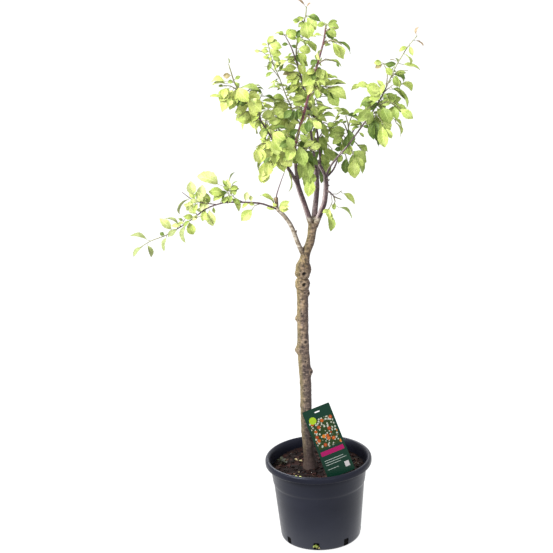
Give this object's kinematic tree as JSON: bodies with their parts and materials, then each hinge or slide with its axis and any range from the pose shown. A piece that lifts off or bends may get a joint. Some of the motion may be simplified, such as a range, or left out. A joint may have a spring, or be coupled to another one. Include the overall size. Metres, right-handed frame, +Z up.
{
  "type": "potted mirabelle plum tree",
  "caption": "Young plum tree in a round nursery pot: a clean leaning stem with a swollen graft, an open crown of leafy shoots, one long low side shoot and a plant label in the soil.",
  "frame": {"origin": "centre of the pot's flat underside, on the ground", "axes": "+Z up along the stem, -Y towards the front where the plant label faces, +X to the right seen from the front"},
  "size_m": [0.7271, 0.396, 1.4175],
  "materials": {
    "pot_plastic": "satin",
    "soil": "matte",
    "label_card": "satin",
    "bark": "matte",
    "foliage": "matte"
  },
  "bodies": {
    "root": {"pot": "pot_plastic", "soil": "soil", "plant_label": "label_card", "trunk": "bark", "low_left_bough": "bark", "right_limb": "bark", "left_limb": "bark", "middle_limb": "bark", "left_outer_bough": "bark", "left_inner_bough": "bark", "right_outer_bough": "bark", "right_inner_bough": "bark", "right_lower_bough": "bark", "back_bough": "bark", "right_spur": "bark", "left_spray": "foliage", "low_left_shoot": "foliage", "left_crown": "foliage", "left_skirt": "foliage", "centre_crown": "foliage", "top_crown": "foliage", "upper_left_crown": "foliage", "front_crown": "foliage", "right_crown": "foliage", "right_skirt": "foliage", "back_crown": "foliage", "back_left_crown": "foliage", "right_sprig": "foliage"}
  },
  "joints": []
}
